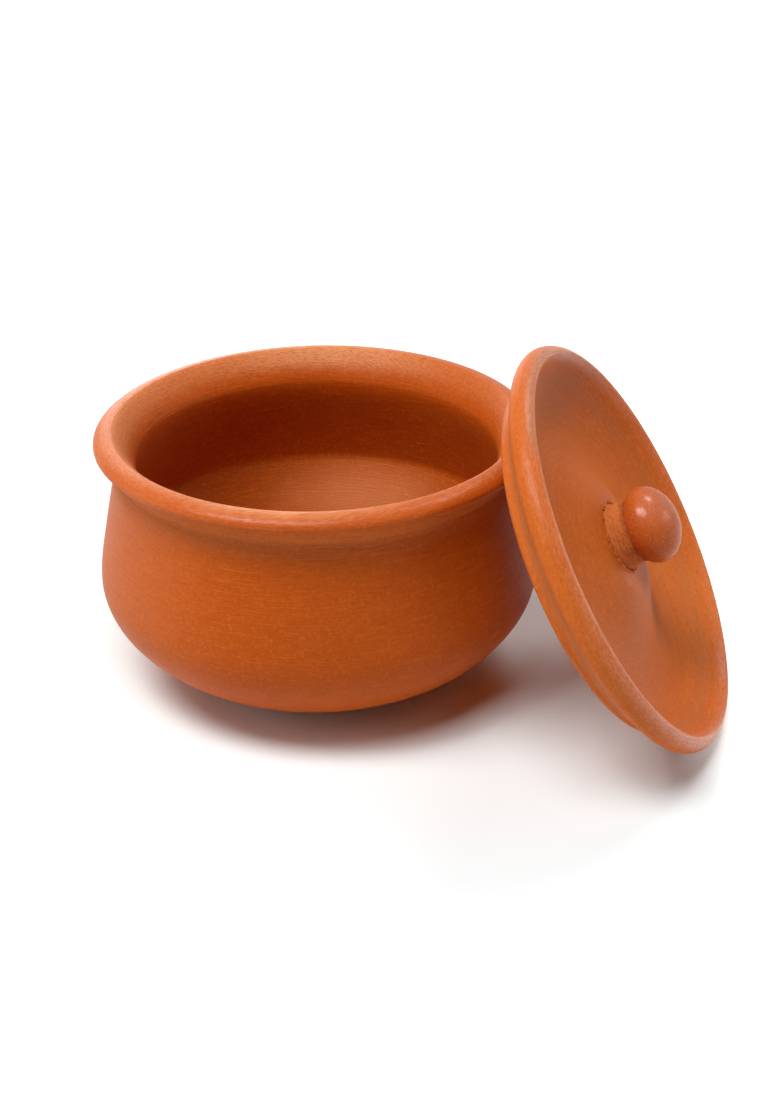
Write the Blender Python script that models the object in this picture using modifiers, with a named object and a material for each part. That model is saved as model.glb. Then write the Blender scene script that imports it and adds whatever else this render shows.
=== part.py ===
"""Clay curd pot with a loose lid.

A thrown terracotta pot with a flared, rolled rim, and its turned dish-shaped lid, which leans against
the rim with its lower edge on the ground. A ball knob is stuck to the middle of the lid with a collar
of scored clay slip. Metres, +Z up, origin at the centre of the pot's flat base.
"""

import math

import bpy
from mathutils import Matrix, Vector

# Pot, outside: radii and heights down its profile
BASE_RADIUS = 0.038
BELLY_RADIUS = 0.086
BELLY_HEIGHT = 0.0423
NECK_INSET = 0.00795
NECK_RISE = 0.0470
COLLAR_FLARE = 0.0019
COLLAR_RISE = 0.0061
LIP_FLARE = 0.0070
LIP_RISE = 0.0090
LIP_ROLL = 0.00675
LIP_CROWN = 0.0040

# Pot, inside: a bowl, and a wall that was raised on it, with a soft corner where they meet
WALL = 0.0065
FLOOR = 0.0075
THROAT_WALL = 0.00825
THROAT_DEPTH = 0.0128
INNER_FLOOR_INSET = 0.008
BOWL_CORNER_RISE = 0.0087
BOWL_SLOPE = math.radians(28)
WALL_LEAN = math.radians(8)

# Lid: a dish with a rounded rim band, and a flange that drops into the pot's mouth
LID_PLAY = 0.0012
BAND_OVERHANG = 0.01105
BAND_ROUND = 0.0057
BAND_UNDER = 0.0046
RIM_EDGE_ANGLE = math.radians(75)
BAND_UNDER_ANGLE = math.radians(-80)
COVE_HEIGHT = 0.0059
FLANGE_ROUND = 0.0026
FOOT_INSET = 0.0218
DISH_WALL_RUN = 0.0222
DISH_DEPTH = 0.0150
LID_FLOOR = 0.0068
BOSS_HEIGHT = 0.0100
BOSS_LEDGE = 0.0011

# Knob and its collar of slip
KNOB_RADIUS = 0.0144
KNOB_HALF_HEIGHT = 0.0100
KNOB_RISE = 0.0127
KNOB_OFF_CENTRE = 0.0040
KNOB_NECK_RADIUS = 0.0105
COLLAR_WALL = 0.0016
COLLAR_SPREAD = 0.0008

# How the lid leans: the way its knob points, and how far it stands to one side of the pot's middle
LEAN_TURN = math.radians(-17.4)
LEAN_RISE = math.radians(30.2)
LEAN_SIDE = -0.0124

# Gap kept between neighbouring pieces
CLEARANCE = 0.0003

# Fineness of the turned surfaces
POT_STEPS = 64
LID_STEPS = 64
KNOB_STEPS = 40
MERGE_DISTANCE = 0.00002

# Rounds in which the leaning lid is settled against the pot
SETTLING_STEPS = 8

# Sizes that follow from the ones above
NECK_OUTER_RADIUS = BELLY_RADIUS - NECK_INSET
LIP_RADIUS = NECK_OUTER_RADIUS + LIP_FLARE
LIP_TOP_RADIUS = LIP_RADIUS - LIP_ROLL
THROAT_RADIUS = NECK_OUTER_RADIUS - THROAT_WALL
NECK_HEIGHT = BELLY_HEIGHT + NECK_RISE
LIP_EDGE_HEIGHT = NECK_HEIGHT + LIP_RISE
POT_HEIGHT = LIP_EDGE_HEIGHT + LIP_CROWN
THROAT_HEIGHT = POT_HEIGHT - THROAT_DEPTH
BOWL_CORNER_RADIUS = BELLY_RADIUS - WALL
BOWL_CORNER_HEIGHT = BELLY_HEIGHT + BOWL_CORNER_RISE
FLANGE_RADIUS = THROAT_RADIUS - LID_PLAY
FLANGE_DROP = BAND_UNDER + COVE_HEIGHT
BAND_RADIUS = FLANGE_RADIUS + BAND_OVERHANG
BAND_CENTRE_RADIUS = BAND_RADIUS - BAND_ROUND
RIM_EDGE_RADIUS = BAND_CENTRE_RADIUS + BAND_ROUND * math.cos(RIM_EDGE_ANGLE)
RIM_TOP = BAND_ROUND * math.sin(RIM_EDGE_ANGLE)
DISH_FLOOR_RADIUS = RIM_EDGE_RADIUS - DISH_WALL_RUN
DISH_FLOOR = RIM_TOP - DISH_DEPTH
FOOT_RADIUS = FLANGE_RADIUS - FOOT_INSET
FOOT_LEVEL = DISH_FLOOR - LID_FLOOR
COLLAR_BORE = KNOB_NECK_RADIUS + CLEARANCE
COLLAR_TOP_RADIUS = COLLAR_BORE + COLLAR_WALL
COLLAR_FOOT_RADIUS = COLLAR_TOP_RADIUS + COLLAR_SPREAD
BOSS_RADIUS = COLLAR_FOOT_RADIUS + KNOB_OFF_CENTRE + BOSS_LEDGE
BOSS_TOP = DISH_FLOOR + BOSS_HEIGHT
KNOB_CENTRE = BOSS_TOP + KNOB_RISE


def polar(length, angle):
    """A step of this length in the plane of a profile, its angle counted from straight outwards."""
    return Vector((length * math.cos(angle), length * math.sin(angle)))


def curve(start, start_pull, end, end_pull, count):
    """Points of a smooth curve, without its first one. The pulls are its handles, seen from its ends."""
    a, d = Vector(start), Vector(end)
    b, c = a + Vector(start_pull), d + Vector(end_pull)
    points = []
    for i in range(1, count + 1):
        t = i / count
        s = 1 - t
        points.append(s ** 3 * a + 3 * s * s * t * b + 3 * s * t * t * c + t ** 3 * d)
    return points


def arc(centre, radius, height, start, end, count):
    """Points along an arc of an ellipse, both ends included, the angles counted from straight outwards."""
    points = []
    for i in range(count + 1):
        angle = start + (end - start) * i / count
        points.append(Vector((centre[0] + radius * math.cos(angle), centre[1] + height * math.sin(angle))))
    return points


def pot_outside():
    """The pot's outer profile, from the top of the lip down to the edge of the base."""
    lip_top = (LIP_TOP_RADIUS, POT_HEIGHT)
    lip_edge = (LIP_RADIUS, LIP_EDGE_HEIGHT)
    collar_top = (NECK_OUTER_RADIUS + COLLAR_FLARE, NECK_HEIGHT + COLLAR_RISE)
    neck = (NECK_OUTER_RADIUS, NECK_HEIGHT)
    belly = (BELLY_RADIUS, BELLY_HEIGHT)
    base = (BASE_RADIUS, 0.0)
    shoulder_pull = polar(0.277 * NECK_RISE, math.radians(-84.3))
    base_pull = polar(0.502 * (BELLY_RADIUS - BASE_RADIUS), math.radians(14.3))
    points = [Vector(lip_top)]
    points += curve(lip_top, (0.55 * LIP_ROLL, 0.0), lip_edge, (0.0, 0.55 * LIP_CROWN), 5)
    overhang = LIP_RADIUS - collar_top[0]
    points += curve(lip_edge, (0.0, -0.17 * LIP_RISE), collar_top, (0.45 * overhang, 0.02 * LIP_RISE), 4)
    points += curve(collar_top, (0.0, -0.3 * COLLAR_RISE), neck, (0.1 * COLLAR_FLARE, 0.3 * COLLAR_RISE), 3)
    points += curve(neck, shoulder_pull, belly, (0.0, 0.22 * NECK_RISE), 9)
    points += curve(belly, (0.0, -0.464 * BELLY_HEIGHT), base, base_pull, 10)
    return points


def pot_inside():
    """The pot's inner profile, from the middle of the floor up to the top of the lip."""
    floor = (BASE_RADIUS - INNER_FLOOR_INSET, FLOOR)
    corner = (BOWL_CORNER_RADIUS, BOWL_CORNER_HEIGHT)
    throat = (THROAT_RADIUS, THROAT_HEIGHT)
    lip_top = (LIP_TOP_RADIUS, POT_HEIGHT)
    floor_span = BOWL_CORNER_RADIUS - floor[0]
    wall_rise = THROAT_HEIGHT - BOWL_CORNER_HEIGHT
    funnel = LIP_TOP_RADIUS - THROAT_RADIUS
    bowl_pull = polar(0.4 * (BOWL_CORNER_HEIGHT - FLOOR), math.radians(-90) - BOWL_SLOPE)
    wall_pull = polar(0.35 * wall_rise, math.radians(90) + WALL_LEAN)
    points = [Vector((0.0, FLOOR)), Vector(floor)]
    points += curve(floor, (0.5 * floor_span, 0.0), corner, bowl_pull, 9)
    points += curve(corner, wall_pull, throat, (0.0, -0.1 * wall_rise), 7)
    points += curve(throat, (0.0, 0.14 * THROAT_DEPTH), lip_top, (-0.3 * funnel, 0.0), 7)
    return points


def pot_profile():
    """The whole wall of the pot, from the middle of its floor over the lip to the middle of its base."""
    return pot_inside()[:-1] + pot_outside() + [Vector((0.0, 0.0))]


def lid_profile():
    """The lid, from the middle of its boss over the rim band to the middle of its foot.

    Height 0 is the middle of the rim band, and the knob's side is up."""
    boss = (BOSS_RADIUS, BOSS_TOP)
    floor = (DISH_FLOOR_RADIUS, DISH_FLOOR)
    rim_edge = (RIM_EDGE_RADIUS, RIM_TOP)
    flange = (FLANGE_RADIUS, -FLANGE_DROP)
    flange_centre = (FLANGE_RADIUS - FLANGE_ROUND, -FLANGE_DROP)
    foot = (FOOT_RADIUS, FOOT_LEVEL)
    boss_span = DISH_FLOOR_RADIUS - BOSS_RADIUS
    ledge = BAND_CENTRE_RADIUS - FLANGE_RADIUS
    foot_pull = polar(0.35 * (flange_centre[0] - FOOT_RADIUS), math.radians(10))

    points = [Vector((0.0, BOSS_TOP)), Vector(boss)]
    points += curve(boss, polar(0.25 * boss_span, math.radians(-28)), floor, (-0.5 * boss_span, 0.0), 6)
    points += curve(floor, (0.45 * DISH_WALL_RUN, 0.0), rim_edge, polar(-0.4 * DISH_WALL_RUN, math.radians(58)), 6)
    points += arc((BAND_CENTRE_RADIUS, 0.0), BAND_ROUND, BAND_ROUND, RIM_EDGE_ANGLE, 0.0, 6)[1:]
    points += arc((BAND_CENTRE_RADIUS, 0.0), BAND_ROUND, BAND_UNDER, 0.0, BAND_UNDER_ANGLE, 5)[1:]
    points += curve(points[-1], (-0.3 * ledge, -0.06 * COVE_HEIGHT), flange, (0.1 * ledge, 0.5 * COVE_HEIGHT), 5)
    points += arc(flange_centre, FLANGE_ROUND, FLANGE_ROUND, 0.0, math.radians(-60), 3)[1:]
    points += curve(points[-1], polar(0.3 * (points[-1].x - FOOT_RADIUS), math.radians(-150)), foot, foot_pull, 4)
    points.append(Vector((0.0, FOOT_LEVEL)))
    return points


def knob_profile():
    """The ball knob with its short neck, which stands on the boss."""
    neck_angle = -math.acos(KNOB_NECK_RADIUS / KNOB_RADIUS)
    foot = BOSS_TOP + CLEARANCE
    points = arc((0.0, KNOB_CENTRE), KNOB_RADIUS, KNOB_HALF_HEIGHT, math.radians(90), neck_angle, 12)
    points[0].x = 0.0
    return points + [Vector((KNOB_NECK_RADIUS, foot)), Vector((0.0, foot))]


def collar_profile():
    """The collar of slip round the knob's neck, a closed ring from the boss up to the ball's underside."""
    foot = BOSS_TOP + CLEARANCE
    hug_start, hug_end = (-math.acos(radius / KNOB_RADIUS) for radius in (COLLAR_BORE, COLLAR_TOP_RADIUS))
    points = arc((0.0, KNOB_CENTRE - 2 * CLEARANCE), KNOB_RADIUS, KNOB_HALF_HEIGHT, hug_start, hug_end, 2)
    height = points[-1].y - foot
    points += curve(points[-1], (-0.5 * COLLAR_WALL, -0.4 * height), (COLLAR_FOOT_RADIUS, foot),
                    (-0.4 * COLLAR_SPREAD, 0.2 * height), 6)
    points.append(Vector((COLLAR_BORE, foot)))
    return points


def turned(name, profile, steps, material, collection, closed=False):
    """A solid of revolution about its own Z axis."""
    mesh = bpy.data.meshes.new(name)
    edges = [(i, i + 1) for i in range(len(profile) - 1)]
    if closed:
        edges.append((len(profile) - 1, 0))
    mesh.from_pydata([(p.x, 0.0, p.y) for p in profile], edges, [])
    mesh.materials.append(material)
    piece = bpy.data.objects.new(name, mesh)
    collection.objects.link(piece)
    screw = piece.modifiers.new("Turn", "SCREW")
    screw.axis = "Z"
    screw.angle = 2 * math.pi
    screw.steps = steps
    screw.render_steps = steps
    screw.use_smooth_shade = True
    screw.use_merge_vertices = True
    screw.merge_threshold = MERGE_DISTANCE
    return piece


def clay(name, colour, roughness):
    """A fired clay material in linear colour."""
    material = bpy.data.materials.new(name)
    material.use_nodes = True
    shader = material.node_tree.nodes["Principled BSDF"]
    shader.inputs["Base Color"].default_value = (*colour, 1.0)
    shader.inputs["Roughness"].default_value = roughness
    shader.inputs["Metallic"].default_value = 0.0
    material.diffuse_color = (*colour, 1.0)
    return material


def underside_height(profile, radius):
    """How low the lid reaches at this distance from its axis, or None past its rim."""
    heights = []
    for a, b in zip(profile, profile[1:]):
        if a.x != b.x and min(a.x, b.x) <= radius <= max(a.x, b.x):
            heights.append(a.y + (b.y - a.y) * (radius - a.x) / (b.x - a.x))
    return min(heights, default=None)


def lean_matrix():
    """Where the lid's middle lies as it leans, its own +Z pointing along the knob.

    Its rim band stands on the ground. It is moved along its axis, and kept on the ground, until its
    underside is a clearance away from the pot."""
    axis = Vector((math.cos(LEAN_RISE) * math.cos(LEAN_TURN), math.cos(LEAN_RISE) * math.sin(LEAN_TURN),
                   math.sin(LEAN_RISE)))
    side = Vector((-math.sin(LEAN_TURN), math.cos(LEAN_TURN), 0.0))
    upslope = axis.cross(side)
    band_reach = math.hypot(BAND_ROUND * math.cos(LEAN_RISE), BAND_UNDER * math.sin(LEAN_RISE))
    height = BAND_CENTRE_RADIUS * math.cos(LEAN_RISE) + band_reach
    turns = [2 * math.pi * i / POT_STEPS for i in range(POT_STEPS)]
    pot_points = [Vector((p.x * math.cos(t), p.x * math.sin(t), p.y)) for p in pot_outside() for t in turns]
    profile = lid_profile()

    along = LIP_RADIUS + POT_HEIGHT
    for _ in range(SETTLING_STEPS):
        up = (height - along * axis.z) / upslope.z
        centre = along * axis + up * upslope + LEAN_SIDE * side
        gaps = []
        for point in pot_points:
            offset = point - centre
            level = offset.dot(axis)
            underside = underside_height(profile, (offset - level * axis).length)
            if underside is not None:
                gaps.append(underside - level)
        along -= min(gaps) - CLEARANCE
    return Matrix.Translation(centre) @ Matrix((side, upslope, axis)).transposed().to_4x4()


def build():
    for old in list(bpy.data.objects):
        bpy.data.objects.remove(old, do_unlink=True)
    collection = bpy.data.collections.new("clay_curd_pot")
    bpy.context.scene.collection.children.link(collection)

    pot_clay = clay("pot_clay", (0.50, 0.104, 0.014), 0.55)
    lid_clay = clay("lid_clay", (0.52, 0.115, 0.020), 0.55)
    knob_clay = clay("knob_clay", (0.45, 0.090, 0.020), 0.42)
    slip_clay = clay("slip_clay", (0.52, 0.125, 0.028), 0.85)

    turned("curd_pot", pot_profile(), POT_STEPS, pot_clay, collection)

    lid_place = bpy.data.objects.new("lid_axis", None)
    collection.objects.link(lid_place)
    lid_place.matrix_world = lean_matrix()

    lid = turned("lid_dish", lid_profile(), LID_STEPS, lid_clay, collection)
    knob = turned("lid_knob", knob_profile(), KNOB_STEPS, knob_clay, collection)
    collar = turned("knob_slip_collar", collar_profile(), KNOB_STEPS, slip_clay, collection, closed=True)
    for piece in (lid, knob, collar):
        piece.parent = lid_place
    for piece in (knob, collar):
        piece.location = (0.0, KNOB_OFF_CENTRE, 0.0)


build()
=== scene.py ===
"""Clay curd pot with its loose lid.

A burnished terracotta pot, and its turned lid that leans against the pot's lip. Run as a script, it
builds every piece and the stage that they stand on. Lengths are in metres, +Z is up.
"""

import math

import bpy
from bpy.props import FloatProperty, FloatVectorProperty, IntProperty, PointerProperty
from mathutils import Euler, Matrix, Vector


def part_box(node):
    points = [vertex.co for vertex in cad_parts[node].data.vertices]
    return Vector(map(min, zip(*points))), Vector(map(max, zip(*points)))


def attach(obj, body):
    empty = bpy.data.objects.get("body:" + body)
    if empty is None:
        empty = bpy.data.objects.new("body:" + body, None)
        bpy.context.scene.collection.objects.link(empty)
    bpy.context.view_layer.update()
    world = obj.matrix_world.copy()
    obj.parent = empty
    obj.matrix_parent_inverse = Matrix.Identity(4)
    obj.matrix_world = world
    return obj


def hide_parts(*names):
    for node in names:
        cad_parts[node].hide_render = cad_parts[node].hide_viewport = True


bl_info = {
    "name": "Clay Curd Pot",
    "version": (1, 0, 0),
    "blender": (4, 5, 0),
    "location": "View3D > Sidebar > Clay Pot",
    "description": "Builds a turned clay curd pot with its leaning lid",
    "category": "Object",
}

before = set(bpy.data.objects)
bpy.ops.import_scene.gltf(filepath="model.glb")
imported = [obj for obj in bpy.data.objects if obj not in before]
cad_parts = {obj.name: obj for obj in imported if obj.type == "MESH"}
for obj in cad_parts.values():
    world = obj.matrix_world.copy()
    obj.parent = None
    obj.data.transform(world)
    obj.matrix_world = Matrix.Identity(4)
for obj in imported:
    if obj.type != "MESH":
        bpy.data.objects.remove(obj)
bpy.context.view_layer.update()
POT_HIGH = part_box("curd_pot")[1]

# Kinds of sockets
FLOAT = "NodeSocketFloat"
VECTOR = "NodeSocketVector"
WHOLE = "NodeSocketInt"
GEOMETRY = "NodeSocketGeometry"
MATERIAL = "NodeSocketMaterial"

# A point nearer to the turning axis than this lies on it, and points nearer to each other are one
ON_AXIS = 0.000001
WELD = 0.00001

# The middle value of a noise texture
MIDDLE = 0.5

# Each lamp's width, and where it stands: its turn from +X and its rise from the floor, in degrees
LAMPS = (
    ("high_key", 0.5, 250, 68),
    ("soft_key", 0.45, 206, 60),
    ("high_back", 0.4, 45, 57),
    ("low_right", 0.5, 5, 14),
    ("low_back", 0.5, 105, 14),
    ("low_left", 0.5, 180, 14),
    ("low_front", 0.5, 315, 14),
)
LAMP_TARGET = (0.03, 0.0, 0.05)


# Properties that the sidebar shows

def length(name, description, default):
    """A size in metres."""
    return FloatProperty(name=name, description=description, default=default, unit="LENGTH", precision=5)


def angle(name, description, degrees):
    """An angle, given here in degrees."""
    return FloatProperty(name=name, description=description, default=math.radians(degrees), unit="ROTATION")


def power(name, description, default):
    """A lamp's power in watts."""
    return FloatProperty(name=name, description=description, default=default, min=0.0, unit="POWER")


def share(name, description, default):
    """A share between 0 and 1."""
    return FloatProperty(name=name, description=description, default=default, min=0.0, max=1.0)


def count(name, description, default, least):
    """A number of things."""
    return IntProperty(name=name, description=description, default=default, min=least)


def colour(name, description, default):
    """A linear colour."""
    return FloatVectorProperty(name=name, description=description, default=default, subtype="COLOR", size=3,
                               min=0.0, max=1.0)


class PotSizes(bpy.types.PropertyGroup):
    """The pot's thrown wall."""

    base_radius: length("Base Radius", "Radius of the flat base", 0.038)
    belly_radius: length("Belly Radius", "Widest radius of the belly", POT_HIGH.x)
    belly_height: length("Belly Height", "Height of the belly's widest place", 0.0423)
    neck_inset: length("Neck Inset", "How far the neck is drawn in from the belly", 0.00795)
    neck_rise: length("Neck Rise", "Height of the neck's crease over the belly's widest place", 0.0470)
    collar_flare: length("Collar Flare", "How far the band under the lip widens upwards", 0.0019)
    collar_rise: length("Collar Rise", "Height of the band under the lip", 0.0061)
    lip_flare: length("Lip Flare", "How far the lip stands out from the neck", 0.0070)
    lip_rise: length("Lip Rise", "Height of the lip's edge over the crease", 0.0090)
    lip_roll: length("Lip Roll", "How far the top of the lip lies in from its edge", 0.00675)
    lip_crown: length("Lip Crown", "Height of the lip's top over its edge", 0.0040)
    wall: length("Wall", "Thickness of the wall at the bowl's corner", 0.0065)
    floor: length("Floor", "Thickness of the floor", 0.0075)
    throat_wall: length("Throat Wall", "Thickness of the wall at the throat", 0.00825)
    throat_depth: length("Throat Depth", "Depth of the throat under the lip's top", 0.0128)
    floor_inset: length("Floor Inset", "How much smaller the flat floor is than the base", 0.008)
    corner_rise: length("Corner Rise", "Height of the corner inside over the belly's widest place", 0.0087)
    bowl_slope: angle("Bowl Slope", "How far the bowl still opens out at that corner", 28)
    wall_lean: angle("Wall Lean", "How far the wall leans in over that corner", 8)
    unevenness: length("Unevenness", "How far the hand-thrown wall strays from round", 0.0003)
    steps: count("Steps", "Faces round the pot", 288, 24)


class LidSizes(bpy.types.PropertyGroup):
    """The lid's turned dish, and how it leans."""

    play: length("Play", "Gap between the flange and the pot's throat", 0.0012)
    band_overhang: length("Band Overhang", "How far the rim band stands out from the flange", 0.01105)
    band_round: length("Band Round", "Radius of the rim band's round edge", 0.0057)
    band_under: length("Band Under", "Height of the band's round below its widest place", 0.0046)
    under_angle: angle("Under Angle", "Where the band's round ends below", -80)
    edge_angle: angle("Edge Angle", "Where the band's round ends in the crisp inner edge", 75)
    cove_height: length("Cove Height", "Height of the soft cove between band and flange", 0.0059)
    flange_round: length("Flange Round", "Radius of the flange's edge", 0.0026)
    foot_inset: length("Foot Inset", "How much smaller the flat underside is than the flange", 0.0218)
    dish_wall_run: length("Dish Wall Run", "Width of the dish's sloping wall", 0.0222)
    dish_depth: length("Dish Depth", "Depth of the dish under its rim", 0.0150)
    dish_floor: length("Dish Floor", "Thickness of the dish's floor", 0.0068)
    boss_height: length("Boss Height", "Height of the boss over the dish's floor", 0.0100)
    boss_ledge: length("Boss Ledge", "Width of the boss outside the collar", 0.0011)
    lean_turn: angle("Lean Turn", "The way the knob points, seen from above", -17.4)
    lean_rise: angle("Lean Rise", "How far the knob points up", 30.2)
    lean_side: length("Lean Side", "How far the lid stands to one side of the pot's middle", -0.0124)
    lean_along: length("Lean Along", "Distance of the lid's middle along the way the knob points", 0.13988)
    unevenness: length("Unevenness", "How far the hand-turned lid strays from round", 0.0002)
    steps: count("Steps", "Faces round the lid", 288, 24)


class KnobSizes(bpy.types.PropertyGroup):
    """The ball knob, and the scored slip that holds it."""

    radius: length("Radius", "Radius of the ball", 0.0144)
    half_height: length("Half Height", "Half the ball's height", 0.0100)
    rise: length("Rise", "Height of the ball's middle over the boss", 0.0127)
    off_centre: length("Off Centre", "How far the knob sits off the lid's middle", 0.0040)
    neck_radius: length("Neck Radius", "Radius of the neck inside the collar", 0.0105)
    collar_wall: length("Collar Wall", "Thickness of the collar at its top", 0.0016)
    collar_spread: length("Collar Spread", "How far the collar spreads at its foot", 0.0008)
    score_depth: length("Score Depth", "Depth of the scored lines in the slip", 0.0012)
    score_pitch: length("Score Pitch", "Distance between the scored lines", 0.0007)
    gap: length("Gap", "Gap between neighbouring pieces", 0.0003)
    crumbs: count("Crumbs", "Crumbs of slip left round the collar's foot", 70, 0)
    crumb_size: length("Crumb Size", "Radius of the largest crumb of slip", 0.0009)
    crumb_spread: length("Crumb Spread", "Width of the ring that the crumbs lie in", 0.0012)
    unevenness: length("Unevenness", "How far the knob and its collar stray from round", 0.0001)
    steps: count("Steps", "Faces round the knob", 192, 24)


class ClayColours(bpy.types.PropertyGroup):
    """Colours of the fired clay, some of which also stand in for painted light and shade."""

    pot: colour("Pot", "Burnished clay of the pot", (0.520, 0.086, 0.004))
    pot_deep: colour("Pot Deep", "Darker streaks and patches on the pot and the knob", (0.430, 0.066, 0.003))
    pot_pale: colour("Pot Pale", "Paler streaks on the pot", (0.640, 0.135, 0.014))
    # Painted shade: this darker, browner clay stands in for the shade inside the pot and on its right side
    pot_painted_shade: colour("Pot Inside", "Browner clay inside the pot and on its right", (0.375, 0.072, 0.005))
    # Paler clay: dust in the neck, paler towards the base, and painted light on the pot's left side and in a
    # pool inside
    pot_dust_and_light: colour("Pot Dusty", "Paler dust in the neck and round the base", (0.640, 0.210, 0.070))
    lid: colour("Lid", "Burnished clay of the lid", (0.605, 0.130, 0.018))
    lid_deep: colour("Lid Deep", "Darker streaks on the lid", (0.500, 0.096, 0.011))
    lid_pale: colour("Lid Pale", "Paler streaks on the lid", (0.740, 0.205, 0.046))
    # Worn clay on the lid's edge and in the knob's grain; on the pot's lip it also stands in for a painted
    # highlight
    worn: colour("Worn", "Paler clay where the edges of lid and lip are worn", (0.720, 0.275, 0.110))
    # Brown smoke marks, also used as painted shade on the dish and in the knob's crease, and as the knob's
    # painted shadow
    smoke_and_shade: colour("Smoke", "Brown marks left by the fire", (0.260, 0.064, 0.018))
    ash: colour("Ash", "Greyish marks in the lid's cove and along its crest", (0.360, 0.155, 0.070))
    knob: colour("Knob", "Redder clay of the knob", (0.540, 0.105, 0.014))
    slip: colour("Slip", "Rough slip round the knob", (0.820, 0.225, 0.045))
    grit: colour("Grit", "Pale grains in the clay", (0.780, 0.360, 0.150))


class StageSettings(bpy.types.PropertyGroup):
    """The floor, the lamps and the camera."""

    floor_size: length("Floor Size", "Width of the floor", 12.0)
    floor_colour: colour("Floor Colour", "Pale paint of the floor", (0.91, 0.965, 0.97))
    floor_glow: share("Floor Glow", "How much the far floor's white is lifted", 1.0)
    glow_start: length("Glow Start", "Distance from the pot at which that lift starts", 0.12)
    glow_full: length("Glow Full", "Distance from the pot at which it is full", 0.60)
    glow_right: length("Glow Right", "Distance to the right at which it starts too", 0.12)
    glow_soft: length("Glow Soft", "Width over which it sets in there", 0.07)
    shade_lift: share("Shade Lift", "How much the shade left of the pot is lifted", 0.08)
    shade_start: length("Shade Start", "Distance from the pot at which that lift starts", 0.055)
    shade_full: length("Shade Full", "Distance from the pot at which it is full", 0.08)
    shade_right: length("Shade Right", "Distance to the right at which it ends", 0.06)
    high_key: power("High Key", "Soft lamp high in front, a little to the left", 5.6)
    soft_key: power("Soft Key", "Soft lamp high on the left, a little in front", 6.6)
    high_back: power("High Back", "Soft lamp high behind on the right", 2.4)
    low_right: power("Low Right", "Soft lamp low on the right", 2.1)
    low_back: power("Low Back", "Soft lamp low behind", 3.2)
    low_left: power("Low Left", "Soft lamp low on the left", 2.1)
    low_front: power("Low Front", "Soft lamp low in front on the right", 0.7)
    lamp_distance: length("Lamp Distance", "Distance of the lamps from the pot", 1.1)
    eye_distance: length("Camera Distance", "How far the camera stands in front of the pot", 0.59542)
    eye_height: length("Camera Height", "How high the camera stands", 0.35976)
    eye_pitch: angle("Camera Pitch", "How far the camera looks down", 27.95)
    eye_turn: angle("Camera Turn", "How far the camera looks to the left", -2.68)
    eye_roll: angle("Camera Roll", "How far the camera is tipped", -0.46)
    focal_length: FloatProperty(name="Focal Length", description="In millimetres, on a 36 mm sensor",
                                default=54.84)


# Profiles. The handles of their curves are parts of the sizes beside them, fitted to the outline.

def polar(reach, turn):
    """A step of this length in the plane of a profile, its angle counted from straight outwards."""
    return Vector((reach * math.cos(turn), reach * math.sin(turn)))


def curve(start, start_pull, end, end_pull, steps):
    """Points of a smooth curve, without its first one. The pulls are its handles, seen from its ends."""
    a, d = Vector(start), Vector(end)
    b, c = a + Vector(start_pull), d + Vector(end_pull)
    points = []
    for i in range(1, steps + 1):
        t = i / steps
        s = 1 - t
        points.append(s ** 3 * a + 3 * s * s * t * b + 3 * s * t * t * c + t ** 3 * d)
    return points


def arc(centre, radius, height, start, end, steps):
    """Points along an arc of an ellipse, both ends included, the angles counted from straight outwards."""
    points = []
    for i in range(steps + 1):
        turn = start + (end - start) * i / steps
        points.append(Vector((centre[0] + radius * math.cos(turn), centre[1] + height * math.sin(turn))))
    return points


def run(start, end, steps):
    """Evenly spaced points on a straight line, without its first one."""
    a, b = Vector(start), Vector(end)
    return [a.lerp(b, i / steps) for i in range(1, steps + 1)]


def lip_places(s):
    """The neck's crease, the lip's edge and the lip's top, each as radius and height."""
    neck = (s.belly_radius - s.neck_inset, s.belly_height + s.neck_rise)
    edge = (neck[0] + s.lip_flare, neck[1] + s.lip_rise)
    return neck, edge, (edge[0] - s.lip_roll, edge[1] + s.lip_crown)


def pot_profile(s):
    """The pot's wall, from the middle of its base up the outside, over the lip and down to its floor."""
    neck, edge, top = lip_places(s)
    base, belly = (s.base_radius, 0.0), (s.belly_radius, s.belly_height)
    collar_top = (neck[0] + s.collar_flare, neck[1] + s.collar_rise)
    throat = (neck[0] - s.throat_wall, top[1] - s.throat_depth)
    corner = (s.belly_radius - s.wall, s.belly_height + s.corner_rise)
    floor_edge = (s.base_radius - s.floor_inset, s.floor)
    overhang = edge[0] - collar_top[0]
    wall_rise = throat[1] - corner[1]
    points = [Vector((0.0, 0.0))] + run((0.0, 0.0), base, 12)
    points += curve(base, polar(0.502 * (s.belly_radius - s.base_radius), math.radians(14.3)), belly,
                    (0.0, -0.464 * s.belly_height), 36)
    points += curve(belly, (0.0, 0.22 * s.neck_rise), neck,
                    polar(0.277 * s.neck_rise, math.radians(-84.3)), 26)
    points += curve(neck, (0.1 * s.collar_flare, 0.3 * s.collar_rise), collar_top,
                    (0.0, -0.3 * s.collar_rise), 8)
    points += curve(collar_top, (0.45 * overhang, 0.02 * s.lip_rise), edge, (0.0, -0.17 * s.lip_rise), 12)
    points += curve(edge, (0.0, 0.55 * s.lip_crown), top, (0.55 * s.lip_roll, 0.0), 12)
    points += curve(top, (-0.3 * (top[0] - throat[0]), 0.0), throat, (0.0, 0.26 * s.throat_depth), 24)
    points += curve(throat, (0.0, -0.2 * wall_rise), corner,
                    polar(0.35 * wall_rise, math.radians(90) + s.wall_lean), 20)
    points += curve(corner, polar(0.4 * (corner[1] - s.floor), math.radians(-90) - s.bowl_slope), floor_edge,
                    (0.5 * (corner[0] - floor_edge[0]), 0.0), 28)
    return points + run(floor_edge, (0.0, s.floor), 10)


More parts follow.
